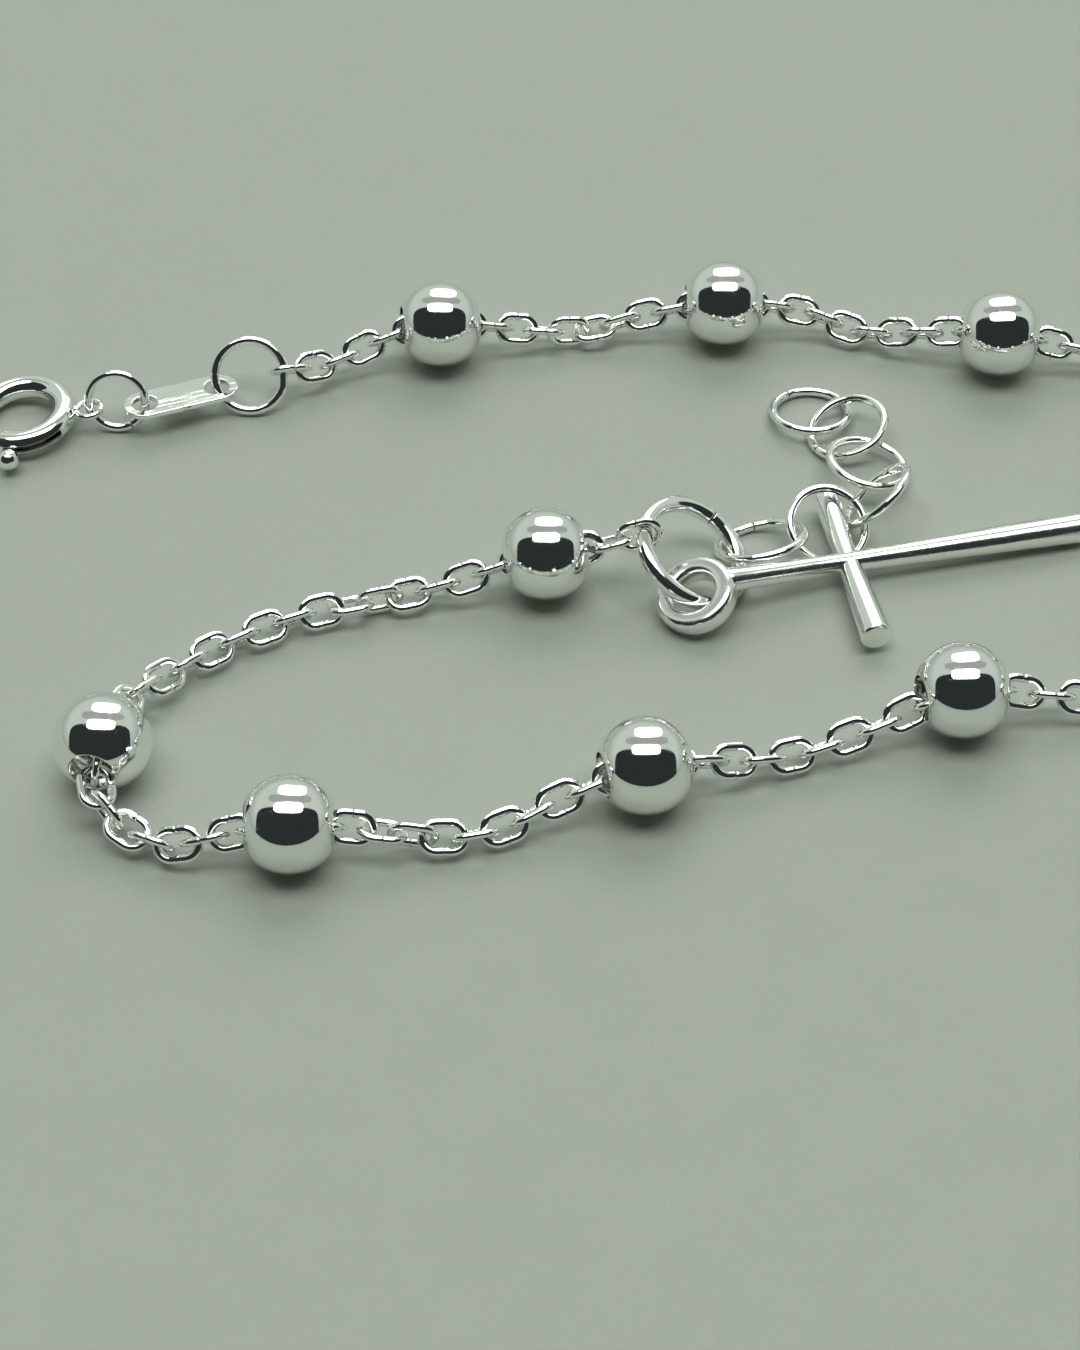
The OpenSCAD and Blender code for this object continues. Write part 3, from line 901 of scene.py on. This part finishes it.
class BRACELET_OT_gate(Operator):
    """Make the clasp's sliding wire with its thumb knob"""

    bl_idname = "bracelet.gate"
    bl_label = "Clasp gate"

    def execute(self, context):
        finish = silver("Gate silver", waves=700.0, wave_height=3e-6, cloud=0.06, haze=0.04)
        middle, x, y, axis = clasp_axes()
        wire_tail, wire_tip, knob = 190, 274, np.radians(265)
        wire_radius, soft, knob_radius, knob_out = 0.3 * MM, 0.16 * MM, 0.475, 1.095
        a = np.radians(np.linspace(wire_tail, wire_tip, 72))[:, None]
        path = middle + CLASP_RADIUS * (np.cos(a) * x + np.sin(a) * y)
        wire = bar_shell(path, np.full(len(path), wire_radius), soft, 40)
        out = np.cos(knob) * x + np.sin(knob) * y
        b = np.linspace(2.87, 0, 30)
        ball = np.stack([knob_out + knob_radius * np.cos(b), knob_radius * np.sin(b)], axis=1)
        stalk = np.array([(0.1, 0.0), (0.1, 0.12), (0.3, 0.12), (0.5, 0.12), (0.6, 0.121)])
        profile = np.concatenate([stalk, ball]) * MM
        thumb_points = turned(profile, middle + CLASP_RADIUS * out, out, axis, 48)
        thumb = thumb_points, cells(48, len(profile), columns_close=False)
        shells = [wire, thumb]
        make_piece("clasp_gate_wire", shells, finish, "clasp_gate", body="gate", sharp=60)
        return {"FINISHED"}


# The stage


def surface_finish(colour):
    """Matte pale surface: fine grain in the bump, and faint mottling in the colour and roughness."""
    finish = bpy.data.materials.new("Pale surface")
    finish.use_nodes = True
    tree = finish.node_tree
    shader = tree.nodes["Principled BSDF"]
    shader.inputs["Specular IOR Level"].default_value = 0.2
    where = put(tree, "ShaderNodeTexCoord", (-1000, 0)).outputs["Object"]
    mottle = put(tree, "ShaderNodeTexNoise", (-750, 200), {}, {
        "Scale": 260.0, "Detail": 6.0, "Roughness": 0.7,
    }, {"Vector": where})
    grain = put(tree, "ShaderNodeTexNoise", (-750, -200), {}, {
        "Scale": 3800.0, "Detail": 3.0,
    }, {"Vector": where})
    tint = put(tree, "ShaderNodeMix", (-400, 200), {"data_type": "RGBA"}, {}, {
        "Factor": mottle.outputs["Fac"],
    })
    tint.inputs[6].default_value = (*(0.95 * c for c in colour), 1.0)
    tint.inputs[7].default_value = (*(1.05 * c for c in colour), 1.0)
    rough = put(tree, "ShaderNodeMapRange", (-400, 0), {}, {"To Min": 0.75, "To Max": 0.95}, {
        "Value": mottle.outputs["Fac"],
    })
    bump = put(tree, "ShaderNodeBump", (-400, -200), {}, {"Strength": 0.5, "Distance": 3e-5}, {
        "Height": grain.outputs["Fac"],
    })
    tree.links.new(tint.outputs[2], shader.inputs["Base Color"])
    tree.links.new(rough.outputs[0], shader.inputs["Roughness"])
    tree.links.new(bump.outputs["Normal"], shader.inputs["Normal"])
    return finish


def card(name, points, colour, strength):
    """A glowing or dark card that only reflections and light see, from a grid of points."""
    mesh = bpy.data.meshes.new(name)
    faces = cells(points.shape[0], points.shape[1], columns_close=False)
    points, faces, _, twice = merged(points.reshape(-1, 3), faces, np.zeros(points.size // 3))
    mesh.from_pydata(points.tolist(), [], faces[~twice].tolist() + faces[twice][:, :3].tolist())
    glow = bpy.data.materials.new(name)
    glow.use_nodes = True
    shader = glow.node_tree.nodes["Principled BSDF"]
    shader.inputs["Base Color"].default_value = (0.0, 0.0, 0.0, 1.0)
    shader.inputs["Specular IOR Level"].default_value = 0.0
    shader.inputs["Emission Color"].default_value = (*colour, 1.0)
    shader.inputs["Emission Strength"].default_value = strength
    mesh.materials.append(glow)
    made = bpy.data.objects.new(name, mesh)
    made.visible_camera = False
    bpy.context.scene.collection.objects.link(made)


def mirrored(middle, half, square, distance):
    """Points of a card in the directions that a ball mirrors toward the camera. Middle and half are
    shares of the ball's radius across and up, and the card's outline is an ellipse whose sine and
    cosine are raised to the power square. With the unit vector h at a place on the ball and v the view,
    the direction is twice h times their dot product, less v."""
    a, t = (np.arange(64) * TURN / 64)[:, None], np.linspace(0, 1, 9)[None, :]
    c, s = np.cos(a), np.sin(a)
    p = (middle[0] + half[0] * t * np.sign(c) * np.abs(c) ** square)[..., None]
    q = (middle[1] + half[1] * t * np.sign(s) * np.abs(s) ** square)[..., None]
    facing = np.sqrt(1 - p * p - q * q)
    place = p * np.array((1.0, 0.0, 0.0)) + q * PICTURE_UP + facing * TO_CAMERA
    return distance * (2 * facing * place - TO_CAMERA)


def rectangle(corner, across, up):
    """Nine points of a flat sheet, from its corner along two sides."""
    t = np.linspace(0, 1, 3)
    return np.array(corner) + t[:, None, None] * np.array(across) + t[None, :, None] * np.array(up)


class BRACELET_OT_stage(Operator):
    """Make the pale surface, the light, the dark side of the room and the camera"""

    bl_idname = "bracelet.stage"
    bl_label = "Surface, light and camera"

    def execute(self, context):
        look = context.scene.bracelet_stage
        low_share, rise_to = 0.62, 0.35
        mesh = bpy.data.meshes.new("surface")
        flat = rectangle((-1.5, -1.5, 0), (3, 0, 0), (0, 3, 0))
        mesh.from_pydata(flat.reshape(-1, 3).tolist(), [], cells(3, 3, False, False)[:, ::-1].tolist())
        mesh.materials.append(surface_finish(look.surface))
        surface = bpy.data.objects.new("surface", mesh)
        context.scene.collection.objects.link(surface)

        world = bpy.data.worlds.new("Room")
        context.scene.world = world
        world.use_nodes = True
        tree = world.node_tree
        toward = put(tree, "ShaderNodeTexCoord", (-900, 0)).outputs["Generated"]
        height = put(tree, "ShaderNodeSeparateXYZ", (-700, 0), {}, {}, {"Vector": toward}).outputs["Z"]
        rise = put(tree, "ShaderNodeMapRange", (-500, 0), {"clamp": True}, {
            "From Min": 0.0, "From Max": rise_to, "To Min": low_share * look.room, "To Max": look.room,
        }, {"Value": height}).outputs[0]
        back = tree.nodes["Background"]
        back.inputs["Color"].default_value = (0.9, 1.0, 0.9, 1.0)
        tree.links.new(rise, back.inputs["Strength"])

        white = (0.97, 1.0, 0.94)
        cards = {
            "lamp": (mirrored((0.01, 0.33), (0.28, 0.1), 0.5, 0.9), white, look.lamp),
            "window": (mirrored((0.06, 0.67), (0.28, 0.1), 0.6, 1.2), white, look.window),
            "ceiling": (mirrored((0.03, 0.5), (0.42, 0.08), 0.6, 1.25), (0.92, 1.0, 0.92), 0.36),
            "dark_side": (mirrored((0.0, -0.03), (0.6, 0.37), 0.45, 1.3), (0.8, 1.0, 0.95), 0.028),
        }
        for name, (points, colour, strength) in cards.items():
            card(name, points, colour, strength)
        context.scene.view_settings.view_transform = "Standard"

        data = bpy.data.cameras.new("camera")
        data.sensor_fit = "VERTICAL"
        data.sensor_height = 36.0
        data.lens = CAMERA_LENS
        data.clip_start = 0.005
        data.clip_end = 20.0
        camera = bpy.data.objects.new("camera", data)
        camera.location = np.array(CAMERA_PLACE) * MM
        camera.rotation_euler = (np.radians(CAMERA_TILT), 0, 0)
        context.scene.collection.objects.link(camera)
        context.scene.camera = camera
        return {"FINISHED"}


class BRACELET_PT_panel(Panel):
    """Lists the bracelet's pieces and their sizes in the sidebar"""

    bl_idname = "BRACELET_PT_panel"
    bl_label = "Rosary bracelet"
    bl_space_type = "VIEW_3D"
    bl_region_type = "UI"
    bl_category = "Bracelet"

    def draw(self, context):
        for title, owner in SETTINGS.items():
            box = self.layout.box()
            box.label(text=title.replace("bracelet_", "").capitalize())
            values = getattr(context.scene, title)
            for key in owner.__annotations__:
                box.prop(values, key)
        for operator in OPERATORS:
            self.layout.operator(operator.bl_idname)


SETTINGS = {
    "bracelet_bead": BeadLook,
    "bracelet_wire": WireLook,
    "bracelet_silver": SilverLook,
    "bracelet_stage": StageLook,
}
OPERATORS = [
    BRACELET_OT_stage,
    BRACELET_OT_chain,
    BRACELET_OT_beads,
    BRACELET_OT_rings,
    BRACELET_OT_d_ring,
    BRACELET_OT_tag,
    BRACELET_OT_cross,
    BRACELET_OT_clasp,
    BRACELET_OT_gate,
]


def register():
    for made in [*SETTINGS.values(), *OPERATORS, BRACELET_PT_panel]:
        bpy.utils.register_class(made)
    for key, owner in SETTINGS.items():
        setattr(bpy.types.Scene, key, PointerProperty(type=owner))


def unregister():
    for key in SETTINGS:
        delattr(bpy.types.Scene, key)
    for made in reversed([*SETTINGS.values(), *OPERATORS, BRACELET_PT_panel]):
        bpy.utils.unregister_class(made)


def main():
    register()
    bpy.ops.bracelet.stage()
    bpy.ops.bracelet.chain()
    bpy.ops.bracelet.beads()
    bpy.ops.bracelet.rings()
    bpy.ops.bracelet.d_ring()
    bpy.ops.bracelet.tag()
    bpy.ops.bracelet.cross()
    bpy.ops.bracelet.clasp()
    bpy.ops.bracelet.gate()


if __name__ == "__main__":
    main()
